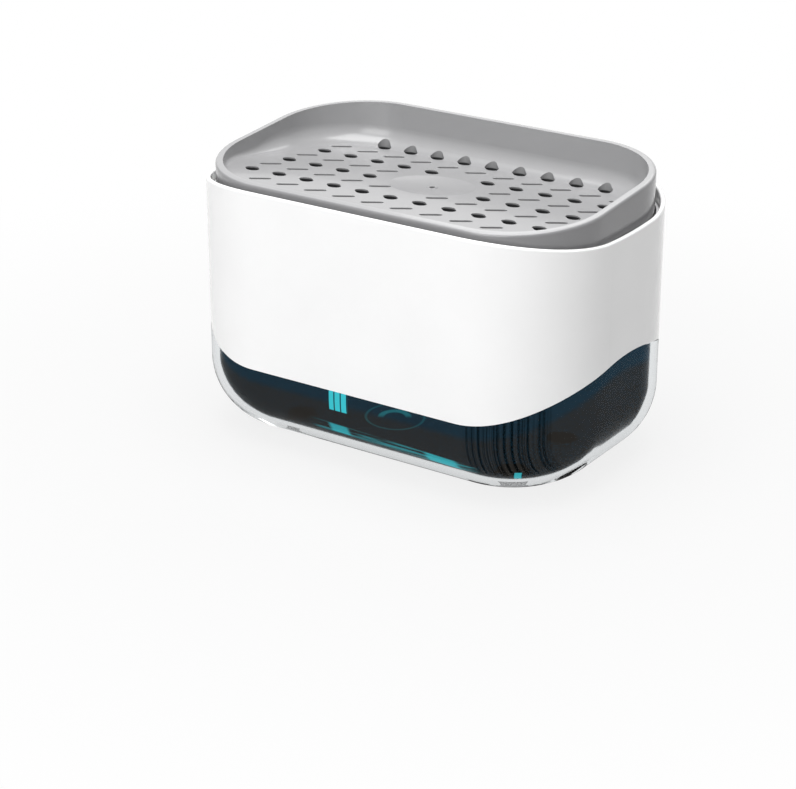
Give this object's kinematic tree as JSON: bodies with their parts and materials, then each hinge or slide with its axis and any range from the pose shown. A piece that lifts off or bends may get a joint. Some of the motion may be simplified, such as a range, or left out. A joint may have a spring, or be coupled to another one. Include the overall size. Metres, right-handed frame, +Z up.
{
  "type": "soap pump caddy",
  "caption": "Soap pump caddy: clear tank under a gloss white sleeve, and a pierced sponge tray that presses down on a spring pump to bring soap up into its dish.",
  "frame": {"origin": "on the ground, under the middle of the caddy", "axes": "+X along the length, -Y towards the front, +Z up"},
  "size_m": [0.145, 0.093, 0.0952],
  "materials": {
    "clear_wall": "clear, polished",
    "white_gloss": "gloss",
    "grey_satin": "satin",
    "lid_plastic": "satin",
    "pump_plastic": "satin",
    "piston_plastic": "satin",
    "tube_plastic": "clear, smooth",
    "outlet_plastic": "satin",
    "foot_rubber": "matt",
    "seal_rubber": "matt",
    "spring_steel": "drawn wire",
    "ball_steel": "polished"
  },
  "bodies": {
    "base": {"tank": "clear_wall", "housing_sleeve": "white_gloss", "foot_pad_1": "foot_rubber", "foot_pad_2": "foot_rubber", "foot_pad_3": "foot_rubber", "foot_pad_4": "foot_rubber"},
    "lid": {"drip_lid": "lid_plastic", "lid_seal": "seal_rubber", "closure_gasket": "seal_rubber", "pump_cylinder": "pump_plastic", "dip_tube": "tube_plastic", "stem_guide": "pump_plastic", "pump_closure": "pump_plastic", "return_spring": "spring_steel"},
    "inlet_valve": {"inlet_ball": "ball_steel"},
    "plunger": {"pump_stem": "pump_plastic", "piston": "piston_plastic", "piston_seat": "pump_plastic"},
    "tray": {"press_tray": "grey_satin", "tray_hub": "grey_satin", "stem_o_ring": "seal_rubber", "outlet_nozzle": "outlet_plastic"}
  },
  "joints": [
    {"name": "lid_lift", "type": "slide", "parent": "base", "child": "lid", "axis": [0, 0, 1], "range_m": [0, 0.1]},
    {"name": "press_stroke", "type": "slide", "parent": "lid", "child": "plunger", "axis": [0, 0, -1], "range_m": [0, 0.0105], "stiffness_N_per_m": 700, "springref_m": -0.012, "deforming": ["return_spring"]},
    {"name": "inlet_ball_lift", "type": "slide", "parent": "lid", "child": "inlet_valve", "axis": [0, 0, 1], "range_m": [0, 0.0015]},
    {"name": "tray_lift", "type": "slide", "parent": "plunger", "child": "tray", "axis": [0, 0, 1], "range_m": [0, 0.06]}
  ]
}
